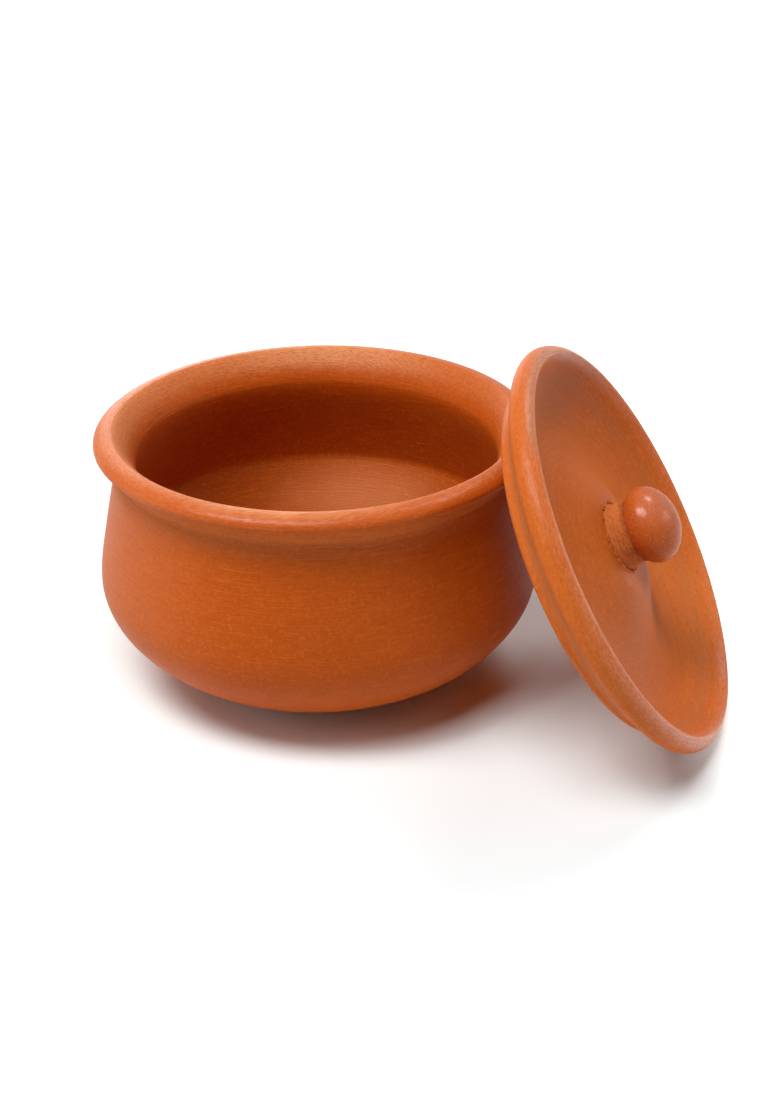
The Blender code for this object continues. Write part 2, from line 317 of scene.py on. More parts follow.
def lid_levels(pot, s, knob):
    """The radii and heights that the lid's pieces share. Height 0 is the middle of the rim band."""
    flange = pot.belly_radius - pot.neck_inset - pot.throat_wall - s.play
    band_centre = flange + s.band_overhang - s.band_round
    edge = Vector((band_centre, 0.0)) + polar(s.band_round, s.edge_angle)
    floor = edge.y - s.dish_depth
    boss_top = floor + s.boss_height
    bore = knob.neck_radius + knob.gap
    collar_foot = bore + knob.collar_wall + knob.collar_spread
    return {"flange": flange, "band_centre": band_centre, "edge": edge, "floor": floor, "boss_top": boss_top,
            "bore": bore, "collar_foot": collar_foot, "boss": collar_foot + knob.off_centre + s.boss_ledge,
            "dish_floor": edge.x - s.dish_wall_run, "foot": flange - s.foot_inset,
            "under": floor - s.dish_floor, "knob_centre": boss_top + knob.rise}


def lid_profile(s, at):
    """The lid, from the middle of its underside out over the rim band and in to the middle of its boss."""
    boss, floor = (at["boss"], at["boss_top"]), (at["dish_floor"], at["floor"])
    foot = (at["foot"], at["under"])
    drop = s.band_under + s.cove_height
    flange_centre = (at["flange"] - s.flange_round, -drop)
    band = (at["band_centre"], 0.0)
    boss_span = at["dish_floor"] - at["boss"]
    ledge = at["band_centre"] - at["flange"]
    under = arc(band, s.band_round, s.band_under, s.under_angle, 0.0, 15)
    rounded = arc(flange_centre, s.flange_round, s.flange_round, math.radians(-60), 0.0, 8)
    points = [Vector((0.0, at["under"]))] + run((0.0, at["under"]), foot, 14)
    points += curve(foot, polar(0.35 * (flange_centre[0] - at["foot"]), math.radians(10)), rounded[0],
                    polar(0.3 * (rounded[0].x - at["foot"]), math.radians(-150)), 14)
    points += rounded[1:]
    points += curve((at["flange"], -drop), (0.1 * ledge, 0.5 * s.cove_height), under[0],
                    (-0.3 * ledge, -0.06 * s.cove_height), 18)
    points += under[1:] + arc(band, s.band_round, s.band_round, 0.0, s.edge_angle, 16)[1:]
    points += curve(at["edge"], polar(-0.4 * s.dish_wall_run, math.radians(58)), floor,
                    (0.45 * s.dish_wall_run, 0.0), 24)
    points += curve(floor, (-0.5 * boss_span, 0.0), boss, polar(0.3 * boss_span, math.radians(-14)), 24)
    return points + run(boss, (0.0, at["boss_top"]), 10)


def knob_profile(s, at):
    """The ball knob with its short neck, from the middle of its foot up to its top."""
    foot = at["boss_top"] + s.gap
    ball = arc((0.0, at["knob_centre"]), s.radius, s.half_height, -math.acos(s.neck_radius / s.radius),
               math.radians(90), 56)
    ball[-1].x = 0.0
    return [Vector((0.0, foot)), Vector((0.5 * s.neck_radius, foot)), Vector((s.neck_radius, foot))] + ball


def collar_profile(s, at):
    """The collar of slip, a closed ring: up its outer flare, in to the bore and down to the boss again."""
    foot = at["boss_top"] - 0.5 * s.gap
    hug = [-math.acos(reach / s.radius) for reach in (at["bore"] + s.collar_wall, at["bore"])]
    top = arc((0.0, at["knob_centre"] - s.gap), s.radius, s.half_height, hug[0], hug[1], 5)
    rise = top[0].y - foot
    points = [Vector((at["bore"], foot))] + run((at["bore"], foot), (at["collar_foot"], foot), 4)
    points += curve((at["collar_foot"], foot), (-0.4 * s.collar_spread, 0.2 * rise), top[0],
                    (-0.5 * s.collar_wall, -0.4 * rise), 30)
    points += top[1:]
    return points + run(top[-1], (at["bore"], foot), 8)


def lean_matrix(s, at):
    """Where the lid's middle lies as it leans, its own +Z pointing along the knob."""
    level = math.cos(s.lean_rise)
    axis = Vector((level * math.cos(s.lean_turn), level * math.sin(s.lean_turn), math.sin(s.lean_rise)))
    side = Vector((-math.sin(s.lean_turn), math.cos(s.lean_turn), 0.0))
    upslope = axis.cross(side)
    band_reach = math.hypot(s.band_round * level, s.band_under * math.sin(s.lean_rise))
    height = at["band_centre"] * level + band_reach + 0.5 * s.unevenness
    up = (height - s.lean_along * axis.z) / upslope.z
    centre = s.lean_along * axis + up * upslope + s.lean_side * side
    return Matrix.Translation(centre) @ Matrix((side, upslope, axis)).transposed().to_4x4()


def lid_layout(scene):
    """The lid's levels, its leaning place, and the knob's own place a little off the lid's middle."""
    at = lid_levels(scene.pot_sizes, scene.lid_sizes, scene.knob_sizes)
    place = lean_matrix(scene.lid_sizes, at)
    return at, place, place @ Matrix.Translation((0.0, scene.knob_sizes.off_centre, 0.0))


# Node trees

class Nodes:
    """A tree of nodes, and short ways to add to it."""

    def __init__(self, tree):
        self.tree = tree

    def feed(self, socket, value):
        """Feeds an input from another socket or with a plain value."""
        if isinstance(value, bpy.types.NodeSocket):
            self.tree.links.new(value, socket)
        else:
            socket.default_value = value

    def put(self, kind, feeds=None, **options):
        """Adds a node, sets its options and feeds its inputs."""
        node = self.tree.nodes.new(kind)
        for option, value in options.items():
            setattr(node, option, value)
        for name, value in (feeds or {}).items():
            self.feed(node.inputs[name], value)
        return node

    def math(self, operation, *values):
        return self.put("ShaderNodeMath", dict(enumerate(values)), operation=operation).outputs[0]

    def times(self, first, *others):
        for other in others:
            first = self.math("MULTIPLY", first, other)
        return first

    def plus(self, first, *others):
        for other in others:
            first = self.math("ADD", first, other)
        return first

    def minus(self, first, second):
        return self.math("SUBTRACT", first, second)

    def over(self, first, second):
        return self.math("DIVIDE", first, second)

    def whole(self, operation, first, second):
        """A sum with whole numbers."""
        return self.put("FunctionNodeIntegerMath", {0: first, 1: second}, operation=operation).outputs[0]

    def spread(self, value, low, high, to_low=0.0, to_high=1.0):
        """A value taken smoothly from one range to another, and kept inside it."""
        feeds = {"Value": value, "From Min": low, "From Max": high, "To Min": to_low, "To Max": to_high}
        return self.put("ShaderNodeMapRange", feeds, interpolation_type="SMOOTHSTEP").outputs["Result"]

    def blend(self, part, first, second):
        """A colour between two others."""
        return self.put("ShaderNodeMix", {0: part, 6: first, 7: second}, data_type="RGBA").outputs[2]

    def xyz(self, x=0.0, y=0.0, z=0.0):
        return self.put("ShaderNodeCombineXYZ", {0: x, 1: y, 2: z}).outputs[0]

    def parts(self, vector):
        return self.put("ShaderNodeSeparateXYZ", {0: vector}).outputs

    def vector(self, operation, *values):
        node = self.put("ShaderNodeVectorMath", dict(enumerate(values)), operation=operation)
        return node.outputs["Vector"]

    def size(self, vector):
        """A vector's length."""
        return self.put("ShaderNodeVectorMath", {0: vector}, operation="LENGTH").outputs["Value"]

    def noise(self, vector, scale, detail, roughness=0.5, distortion=0.0, seed=None):
        """A noise texture's value, with a seed as its fourth coordinate where there is one."""
        feeds = {"Vector": vector, "Scale": scale, "Detail": detail, "Roughness": roughness,
                 "Distortion": distortion}
        if seed is None:
            return self.put("ShaderNodeTexNoise", feeds).outputs["Fac"]
        return self.put("ShaderNodeTexNoise", feeds | {"W": seed}, noise_dimensions="4D").outputs["Fac"]

    def about_axis(self, vector):
        """Distance from the turning axis, height along it, and the direction round it, of a place."""
        part = self.parts(vector)
        flat = self.xyz(part[0], part[1])
        return self.size(flat), part[2], self.vector("NORMALIZE", flat)

    def arrange(self):
        """Sets the nodes out in columns, each one to the right of what feeds it, and returns the tree."""
        depth = {}

        def column(node):
            if node.name not in depth:
                depth[node.name] = 0
                sources = [link.from_node for socket in node.inputs for link in socket.links]
                depth[node.name] = max([column(source) + 1 for source in sources], default=0)
            return depth[node.name]

        rows = {}
        for node in self.tree.nodes:
            place = column(node)
            node.location = (place * 220, -rows.get(place, 0) * 260)
            rows[place] = rows.get(place, 0) + 1
        return self.tree


def new_group(name, kind, inputs, outputs):
    """A node group with these named sockets, and its two ends."""
    tree = bpy.data.node_groups.new(name, kind)
    for title, socket_type, *default in inputs:
        socket = tree.interface.new_socket(title, in_out="INPUT", socket_type=socket_type)
        if default:
            socket.default_value = default[0]
    for title, socket_type in outputs:
        tree.interface.new_socket(title, in_out="OUTPUT", socket_type=socket_type)
    return Nodes(tree), tree.nodes.new("NodeGroupInput").outputs, tree.nodes.new("NodeGroupOutput").inputs


def finish_shape(net, geometry, clay, piece):
    """Ends a tree that makes a shape: smooth, real, and made of its clay."""
    smooth = net.put("GeometryNodeSetShadeSmooth", {"Geometry": geometry})
    real = net.put("GeometryNodeRealizeInstances", {"Geometry": smooth.outputs[0]})
    fired = net.put("GeometryNodeSetMaterial", {"Geometry": real.outputs[0], "Material": clay})
    net.feed(piece, fired.outputs[0])
    return net.arrange()


def wheel_tree(name):
    """Geometry nodes that turn a profile into a solid, a little out of round as a hand leaves it."""
    net, given, result = new_group(name, "GeometryNodeTree", [
        ("Profile", GEOMETRY), ("Steps", WHOLE, 288), ("Unevenness", FLOAT, 0.0003), ("Wave", FLOAT, 1.2),
        ("Score Depth", FLOAT, 0.0), ("Score Pitch", FLOAT, 0.0008), ("Seed", FLOAT, 0.0), ("Clay", MATERIAL),
    ], [("Piece", GEOMETRY)])
    rows = net.put("GeometryNodeAttributeDomainSize", {"Geometry": given["Profile"]}).outputs["Point Count"]
    grid = net.put("GeometryNodeMeshGrid", {"Vertices X": net.whole("ADD", given["Steps"], 1),
                                            "Vertices Y": rows})
    index = net.put("GeometryNodeInputIndex").outputs[0]
    row, column = net.whole("MODULO", index, rows), net.whole("DIVIDE_FLOOR", index, rows)
    place = net.put("GeometryNodeInputPosition").outputs[0]
    sample = net.put("GeometryNodeSampleIndex", {"Geometry": given["Profile"], "Index": row, "Value": place},
                     data_type="FLOAT_VECTOR")
    point = net.parts(sample.outputs["Value"])
    turn = net.times(net.over(column, given["Steps"]), 2 * math.pi)
    across, along = net.math("COSINE", turn), net.math("SINE", turn)

    drift_rate, swing, full_reach = 25.0, 4.0, 0.02
    drift = net.xyz(across, along, net.times(point[2], drift_rate))
    hand = net.noise(drift, given["Wave"], 2.0, seed=given["Seed"])
    stray = net.times(net.minus(hand, MIDDLE), swing, given["Unevenness"])
    stray = net.times(stray, net.spread(point[0], 0.0, full_reach))

    slant, bends, deep, both_walls = 1.3, 3.0, 0.65, 2.0
    path = net.plus(point[0], net.times(point[2], slant))
    ring = net.xyz(net.times(across, bends), net.times(along, bends), net.over(path, given["Score Pitch"]))
    scores = net.noise(ring, 1.0, 3.0, 0.6, seed=given["Seed"])
    cut = net.times(net.minus(scores, deep), given["Score Depth"])

    radius = net.plus(point[0], net.plus(stray, net.times(cut, both_walls)))
    radius = net.times(radius, net.math("GREATER_THAN", point[0], ON_AXIS))
    there = net.xyz(net.times(radius, across), net.times(radius, along), point[2])
    shape = net.put("GeometryNodeSetPosition", {"Geometry": grid.outputs["Mesh"], "Position": there})
    shut = net.put("GeometryNodeMergeByDistance", {"Geometry": shape.outputs[0], "Distance": WELD})
    return finish_shape(net, shut.outputs[0], given["Clay"], result["Piece"])


def crumb_tree(name):
    """Geometry nodes that leave crumbs of slip along a ring, each one turned and sized by chance."""
    net, given, result = new_group(name, "GeometryNodeTree", [
        ("Path", GEOMETRY), ("Count", WHOLE, 26), ("Ring Radius", FLOAT, 0.0135), ("Ring Height", FLOAT, 0.0),
        ("Spread", FLOAT, 0.0012), ("Crumb Radius", FLOAT, 0.0007), ("Seed", WHOLE, 3), ("Clay", MATERIAL),
    ], [("Piece", GEOMETRY)])
    full_turn = 2 * math.pi

    def chance(low, high, shift):
        seed = net.whole("ADD", given["Seed"], shift)
        draw = net.put("FunctionNodeRandomValue", {"Seed": seed, 2: low, 3: high}, data_type="FLOAT")
        return draw.outputs[1]

    line = net.put("GeometryNodeMeshLine", {"Count": given["Count"]})
    turn = chance(0.0, full_turn, 0)
    reach = net.plus(given["Ring Radius"], net.times(chance(0.0, 1.0, 1), given["Spread"]))
    there = net.xyz(net.times(reach, net.math("COSINE", turn)), net.times(reach, net.math("SINE", turn)),
                    given["Ring Height"])
    spots = net.put("GeometryNodeSetPosition", {"Geometry": line.outputs[0], "Position": there})
    crumb = net.put("GeometryNodeMeshIcoSphere", {"Radius": 1.0, "Subdivisions": 2})
    grain = net.put("ShaderNodeTexNoise", {"Scale": 1.3, "Detail": 1.0})
    bulge = net.vector("SUBTRACT", grain.outputs["Color"], (MIDDLE, MIDDLE, MIDDLE))
    rough = net.put("GeometryNodeSetPosition", {"Geometry": crumb.outputs[0], "Offset": bulge})
    size = net.times(chance(0.35, 1.0, 2), given["Crumb Radius"])
    flat = net.xyz(net.times(size, chance(0.8, 1.9, 4)), size, net.times(size, 0.6))
    facing = net.xyz(z=chance(0.0, full_turn, 3))
    strewn = net.put("GeometryNodeInstanceOnPoints", {
        "Points": spots.outputs[0], "Instance": rough.outputs[0], "Rotation": facing, "Scale": flat})
    return finish_shape(net, strewn.outputs[0], given["Clay"], result["Piece"])


def lines_group(name):
    """Fine lines and slow streaks that turning leaves round a piece."""
    net, given, result = new_group(name, "ShaderNodeTree", [
        ("Vector", VECTOR), ("Pitch", FLOAT, 0.001), ("Run", FLOAT, 1.0), ("Seed", FLOAT, 0.0),
    ], [("Lines", FLOAT), ("Streaks", FLOAT)])
    reach, height, facing = net.about_axis(given["Vector"])
    tight = net.put("ShaderNodeVectorMath", {0: facing, "Scale": given["Run"]}, operation="SCALE")
    way = net.parts(tight.outputs["Vector"])
    up, out = net.over(height, given["Pitch"]), net.over(reach, given["Pitch"])
    weave = net.xyz(net.plus(way[0], out), up, way[1])
    net.feed(result["Lines"], net.noise(weave, 1.0, 4.0, 0.62, seed=given["Seed"]))
    slow = net.noise(weave, 0.22, 3.0, 0.55, seed=given["Seed"])
    net.feed(result["Streaks"], net.spread(slow, 0.35, 0.7))
    return net.arrange()


def mottle_group(name):
    """Broad patches and a fine grain that the fire leaves in clay."""
    net, given, result = new_group(name, "ShaderNodeTree", [
        ("Vector", VECTOR), ("Patch Size", FLOAT, 0.03), ("Seed", FLOAT, 0.0),
    ], [("Patches", FLOAT), ("Grain", FLOAT)])
    scale = net.over(1.0, given["Patch Size"])
    grains_a_patch = 26.0
    patches = net.noise(given["Vector"], scale, 5.0, 0.6, 0.4, seed=given["Seed"])
    grain = net.noise(given["Vector"], net.times(scale, grains_a_patch), 4.0, 0.7, seed=given["Seed"])
    net.feed(result["Patches"], net.spread(patches, 0.34, 0.66))
    net.feed(result["Grain"], grain)
    return net.arrange()


def pits_group(name):
    """Scattered small pits, and grains of grit in other places."""
    net, given, result = new_group(name, "ShaderNodeTree", [
        ("Vector", VECTOR), ("Spacing", FLOAT, 0.006), ("Size", FLOAT, 0.0005), ("Share", FLOAT, 0.3),
    ], [("Pits", FLOAT), ("Grit", FLOAT)])
    scale = net.over(1.0, given["Spacing"])

    def spots(shift):
        shifted = net.vector("ADD", given["Vector"], (shift, shift, 0.0))
        cell = net.put("ShaderNodeTexVoronoi", {"Vector": shifted, "Scale": scale}, feature="F1").outputs
        far = net.times(cell["Distance"], given["Spacing"])
        there = net.spread(far, given["Size"], net.times(given["Size"], 0.4))
        pick = net.put("ShaderNodeSeparateColor", {0: cell["Color"]}).outputs[0]
        return net.times(there, net.math("LESS_THAN", pick, given["Share"]))

    net.feed(result["Pits"], spots(0.0))
    net.feed(result["Grit"], spots(0.37))
    return net.arrange()


def band_group(name):
    """A soft ring about the turning axis, with a ragged edge."""
    net, given, result = new_group(name, "ShaderNodeTree", [
        ("Vector", VECTOR), ("Radius", FLOAT, 0.07), ("Height", FLOAT, 0.0), ("Width", FLOAT, 0.001),
        ("Raggedness", FLOAT, 0.5),
    ], [("Band", FLOAT)])
    reach, height, _ = net.about_axis(given["Vector"])
    far = net.size(net.xyz(net.minus(reach, given["Radius"]), net.minus(height, given["Height"])))
    wear = net.noise(given["Vector"], 260.0, 3.0)
    ragged = net.times(net.minus(wear, MIDDLE), given["Raggedness"], 2.0)
    edge = net.times(given["Width"], net.plus(1.0, ragged))
    net.feed(result["Band"], net.spread(far, edge, 0.0))
    return net.arrange()


def patch_group(name):
    """A soft oval patch with a ragged edge."""
    net, given, result = new_group(name, "ShaderNodeTree", [
        ("Vector", VECTOR), ("Centre", VECTOR), ("Reach", VECTOR, (1, 1, 1)), ("Raggedness", FLOAT, 0.3),
    ], [("Patch", FLOAT)])
    off = net.vector("DIVIDE", net.vector("SUBTRACT", given["Vector"], given["Centre"]), given["Reach"])
    wander = net.minus(net.noise(given["Vector"], 90.0, 4.0), MIDDLE)
    far = net.plus(net.size(off), net.times(wander, net.times(given["Raggedness"], 2.0)))
    net.feed(result["Patch"], net.spread(far, 1.0, 0.1))
    return net.arrange()


TOOLS = {
    "wheel": ("Turned On The Wheel", wheel_tree),
    "crumbs": ("Crumbs Of Slip", crumb_tree),
    "lines": ("Turning Lines", lines_group),
    "mottle": ("Fired Mottle", mottle_group),
    "pits": ("Pits And Grit", pits_group),
    "band": ("Ring Band", band_group),
    "patch": ("Soft Patch", patch_group),
}


def tools():
    """The shared node groups, each made once."""
    kit = {}
    for key, (name, build) in TOOLS.items():
        kit[key] = bpy.data.node_groups.get(name) or build(name)
    return kit


def add_object(name, data):
    """A new object in the scene."""
    item = bpy.data.objects.new(name, data)
    bpy.context.scene.collection.objects.link(item)
    return item


def shape_with(tree, name, points, values, place):
    """Runs geometry nodes on a line of points, and keeps the result as a plain mesh in its place."""
    line = bpy.data.meshes.new(name + "_line")
    line.from_pydata([(p.x, 0.0, p.y) for p in points], [(i, i + 1) for i in range(len(points) - 1)], [])
    host = add_object(name + "_line", line)
    nodes = host.modifiers.new("Shape", "NODES")
    nodes.node_group = tree
    for item in tree.interface.items_tree:
        if item.in_out == "INPUT" and item.name in values:
            nodes[item.identifier] = values[item.name]
    bpy.context.view_layer.update()
    seen = host.evaluated_get(bpy.context.evaluated_depsgraph_get())
    mesh = bpy.data.meshes.new_from_object(seen)
    host.modifiers.remove(nodes)
    bpy.data.objects.remove(host)
    bpy.data.meshes.remove(line)
    if not mesh.polygons:
        raise RuntimeError(f"{name} came out empty")
    mesh.name = name
    mesh.transform(place)
    return add_object(name, mesh)


# Clays

def opaque(value):
    """A colour property as a shader colour."""
    return (*value, 1.0)


class Clay(Nodes):
    """A material of fired clay, in coordinates about the turning axis of its piece."""

    def __init__(self, name, kit, gloss, place=None):
        self.material = bpy.data.materials.new(name)
        self.material.use_nodes = True
        super().__init__(self.material.node_tree)
        self.kit = kit
        self.shader = self.tree.nodes["Principled BSDF"]
        self.shader.inputs["Specular IOR Level"].default_value = gloss
        self.here = self.put("ShaderNodeTexCoord").outputs["Object"]
        if place is not None:
            turned = {"Vector": self.here, "Location": place.to_translation(), "Rotation": place.to_euler()}
            self.here = self.put("ShaderNodeMapping", turned, vector_type="TEXTURE").outputs["Vector"]

    def effect(self, name, **sizes):
        """Lays a shared effect on this clay. Its sockets are named here in small letters."""
        feeds = {"Vector": self.here}
        for title, value in sizes.items():
            feeds[title.replace("_", " ").title()] = value
        return self.put("ShaderNodeGroup", feeds, node_tree=self.kit[name]).outputs

    def band(self, radius, height, width, raggedness):
        """1 on a ring about the turning axis, and 0 away from it."""
        return self.effect("band", radius=radius, height=height, width=width, raggedness=raggedness)["Band"]

    def patch(self, centre, reach, raggedness):
        """1 in the middle of a patch, and 0 outside its reach."""
        return self.effect("patch", centre=centre, reach=reach, raggedness=raggedness)["Patch"]

    def layers(self, base, *coats):
        """A base colour with others laid over it, each where its mask is high and by its share."""
        for mask, part, tint in coats:
            base = self.blend(self.times(mask, part), base, opaque(tint))
        return base

    def grained(self, base, grain, part, dark, pale):
        """A base colour with darker and paler marks where a grain runs low and high."""
        return self.layers(base, (self.spread(grain, 0.49, 0.30), part, dark),
                           (self.spread(grain, 0.51, 0.70), part, pale))

    def turned_relief(self, lines, fine, mottle, pits):
        """The height of a turned surface, with its lines, its grain and its pits."""
        relief = self.plus(self.times(lines, 0.5), self.times(fine, 0.3), self.times(mottle["Grain"], 0.2))
        return self.minus(relief, self.times(pits["Pits"], 0.5))

    def burnish(self, mask, part, roughness):
        """A polish that hands and cloth leave, laid over the clay where its mask is high."""
        self.shader.inputs["Coat Roughness"].default_value = roughness
        self.feed(self.shader.inputs["Coat Weight"], self.times(mask, part))

    def finish(self, base, rough, relief, depth):
        """Feeds the shader its colour, its roughness and its fine relief, whose depth is in metres."""
        bump = self.put("ShaderNodeBump", {"Height": relief, "Distance": depth, "Strength": 1.0})
        self.feed(self.shader.inputs["Base Color"], base)
        self.feed(self.shader.inputs["Roughness"], rough)
        self.feed(self.shader.inputs["Normal"], bump.outputs["Normal"])
        self.arrange()
        return self.material


def inside_pot(clay, s):
    """1 inside the pot and 0 outside it, told apart by an egg that lies within the wall."""
    egg_lift, egg_up, egg_down = 0.0027, 0.095, 0.047
    egg_outside, egg_inside = 1.02, 0.97
    fade_high, fade_low = 0.003, -0.009
    reach, height, _ = clay.about_axis(clay.here)
    rise = clay.minus(height, s.belly_height + egg_lift)
    lift = clay.math("MAXIMUM", clay.over(rise, egg_up), clay.over(rise, -egg_down))
    out = clay.over(reach, s.belly_radius - 0.5 * s.wall)
    egg = clay.plus(clay.math("POWER", out, 2.0), clay.math("POWER", lift, 2.0))
    crease = lip_places(s)[0][1]
    under_lip = clay.spread(height, crease + fade_high, crease + fade_low)
    return clay.times(clay.spread(egg, egg_outside, egg_inside), under_lip)


def pot_clay(kit, colours, s):
    """Burnished terracotta with fine throwing lines, dustier in the neck and paler round the base, with
    painted shade inside the pot and on its right, and painted light on its left, on its lip and in a pool
    inside.
    """
    clay = Clay("pot_clay_burnished", kit, 0.1)
    lines = clay.effect("lines", pitch=0.0007, run=7.0, seed=2.0)["Lines"]
    fine = clay.effect("lines", pitch=0.0005, run=50.0, seed=6.0)["Lines"]
    mottle = clay.effect("mottle", patch_size=0.035, seed=5.0)
    pits = clay.effect("pits", spacing=0.011, size=0.00055, share=0.35)
    crease, edge, top = lip_places(s)
    neck = clay.band(*crease, width=0.009, raggedness=0.35)
    lip = clay.band(top[0] - 0.003, top[1] - 0.001, width=0.0115, raggedness=0.2)
    crown = clay.band(edge[0] - 0.3 * s.lip_roll, edge[1] + 0.7 * s.lip_crown, width=0.007, raggedness=0.2)
    # Worn lip all round, with painted highlight and light on its front and far parts, where the lamps catch
    # it
    front = clay.patch((-0.015, -0.082, edge[1]), (0.062, 0.03, 0.03), raggedness=0.2)
    far = clay.patch((0.005, 0.080, edge[1]), (0.075, 0.055, 0.04), raggedness=0.2)
    # Painted light: a pale pool where light falls on the lower wall inside the pot
    inside_light_pool = clay.patch((0.022, 0.068, 0.037), (0.060, 0.032, 0.019), raggedness=0.15)
    side = clay.parts(clay.here)
    # Paler towards the base
    low = clay.spread(side[2], 0.014, 0.0)
    # Painted light: the pot's left side, which faces the lamps, is made paler, and its lip gets more of the
    # pale worn colour
    left = clay.spread(side[0], -0.03, -0.085)
    # Painted shade on the pot's right front, the side away from the lamps
    right = clay.times(clay.spread(side[0], 0.02, 0.08), clay.spread(side[1], 0.02, -0.03))
    within = inside_pot(clay, s)
    # Painted shade: the inside of the pot and its right front take the darker shade colour
    base = clay.layers(opaque(colours.pot), (mottle["Patches"], 0.3, colours.pot_deep),
                       (within, 0.9, colours.pot_painted_shade), (neck, 0.38, colours.pot_dust_and_light),
                       (low, 0.9, colours.pot_dust_and_light), (left, 0.28, colours.pot_dust_and_light),
                       (right, 0.6, colours.pot_painted_shade))
    for grain, part in ((lines, 0.5), (fine, 0.45), (mottle["Grain"], 0.6)):
        base = clay.grained(base, grain, part, colours.pot_deep, colours.pot_pale)
    base = clay.layers(base, (clay.times(within, inside_light_pool), 0.6, colours.pot_dust_and_light))
    # The lip's pale colour: real wear plus painted highlight at the front, the far side and the left
    wear = clay.plus(clay.times(front, 0.85), clay.times(far, 0.65), clay.times(left, 0.3), 0.25)
    wear = clay.times(clay.spread(lip, 0.0, 0.9), wear, clay.spread(fine, 0.35, 0.6, 0.45, 1.1))
    base = clay.layers(base, (wear, 1.0, colours.worn), (pits["Grit"], 0.5, colours.grit))
    rough = clay.plus(clay.times(mottle["Grain"], 0.2), clay.plus(0.36, clay.times(neck, 0.25)))
    polish = clay.times(crown, clay.spread(left, 0.0, 1.0, 1.0, 0.3), clay.spread(fine, 0.35, 0.6, 0.3, 1.0))
    clay.burnish(polish, 0.4, 0.3)
    return clay.finish(base, rough, clay.turned_relief(lines, fine, mottle, pits), 0.0005)


def lid_clay(kit, colours, s, at, place):
    """The lid's terracotta, with smoky fire marks in its dish and cove and a worn inner edge, painted shade
    on the dish's upper wall, the knob's painted shadow below it, and painted light on the dish's lower right.
    """
    clay = Clay("lid_clay_burnished", kit, 0.07, place)
    lines = clay.effect("lines", pitch=0.0008, run=7.0, seed=9.0)["Lines"]
    fine = clay.effect("lines", pitch=0.0005, run=45.0, seed=8.0)["Lines"]
    mottle = clay.effect("mottle", patch_size=0.03, seed=1.0)
    pits = clay.effect("pits", spacing=0.010, size=0.0005, share=0.3)
    edge_x, edge_z = at["edge"]
    edge = clay.band(edge_x, edge_z, width=0.0013, raggedness=0.5)
    rim = clay.band(edge_x + 0.0014, edge_z, width=0.0034, raggedness=0.3)
    bead = clay.band(at["band_centre"] + 0.5 * s.band_round, 0.8 * s.band_round, width=0.006, raggedness=0.2)
    cove = clay.band(at["flange"] + 0.003, -s.band_under - 0.001, width=0.007, raggedness=0.6)
    crest = clay.patch((-0.012, 0.075, 0.005), (0.052, 0.034, 0.02), raggedness=0.2)
    # Painted light: the lower right of the dish, which faces the lamps, is made paler
    lit_dish_patch = clay.patch((0.045, -0.055, 0.0), (0.065, 0.065, 0.03), raggedness=0.15)
    # Smoke mark and painted shade on the dish's upper wall, which faces away from the lamps
    top = clay.patch((0.036, 0.058, -0.004), (0.045, 0.034, 0.02), raggedness=0.2)
    # Painted shadow of the knob, over a smoke mark below it
    under = clay.patch((0.018, -0.032, -0.006), (0.017, 0.026, 0.02), raggedness=0.25)
    # Painted shadow of the knob on the boss below the collar, with smoke marks
    knob_shadow_and_smoke = clay.patch((0.009, -0.018, -0.002), (0.017, 0.020, 0.015), raggedness=0.35)
    base = clay.layers(opaque(colours.lid), (mottle["Patches"], 0.25, colours.lid_deep),
                       (lit_dish_patch, 0.7, colours.lid_pale))
    for grain, part in ((lines, 0.35), (fine, 0.4), (mottle["Grain"], 0.5)):
        base = clay.grained(base, grain, part, colours.lid_deep, colours.lid_pale)
    sooty = clay.times(clay.spread(rim, 0.0, 0.6), clay.spread(crest, 0.0, 0.5))
    base = clay.layers(base, (sooty, 0.45, colours.ash), (cove, 0.5, colours.ash), (top, 0.45, colours.smoke_and_shade),
                       (under, 0.85, colours.smoke_and_shade), (knob_shadow_and_smoke, 0.75, colours.smoke_and_shade), (edge, 0.4, colours.worn),
                       (pits["Grit"], 0.5, colours.grit))
    rough = clay.plus(clay.times(mottle["Grain"], 0.2), clay.plus(0.36, clay.times(edge, 0.2)))
    clay.burnish(clay.times(bead, clay.spread(fine, 0.35, 0.6, 0.3, 1.0)), 1.0, 0.35)
    return clay.finish(base, rough, clay.turned_relief(lines, fine, mottle, pits), 0.00045)


def knob_clay(kit, colours, at, place):
    """Smooth, redder clay with a satin polish from handling, and a few pale grains."""
    clay = Clay("knob_clay_burnished", kit, 0.08, place)
    mottle = clay.effect("mottle", patch_size=0.012, seed=7.0)
    pits = clay.effect("pits", spacing=0.0065, size=0.0008, share=0.3)
    specks = clay.effect("pits", spacing=0.0021, size=0.0004, share=0.4)
    polish = clay.patch((-0.007, 0.009, at["knob_centre"] + 0.006), (0.011, 0.011, 0.011), raggedness=0.3)
    grain = mottle["Grain"]
    base = clay.layers(opaque(colours.knob), (mottle["Patches"], 0.35, colours.pot_deep))
    base = clay.grained(base, grain, 0.7, colours.pot_deep, colours.worn)
    base = clay.layers(base, (specks["Grit"], 0.35, colours.grit), (pits["Grit"], 0.6, colours.grit))
    rough = clay.plus(clay.times(grain, 0.15), 0.3)
    relief = clay.minus(grain, clay.times(pits["Pits"], 0.8))
    clay.burnish(clay.times(polish, clay.spread(grain, 0.3, 0.6, 0.6, 1.0)), 1.0, 0.22)
    return clay.finish(base, rough, relief, 0.0003)


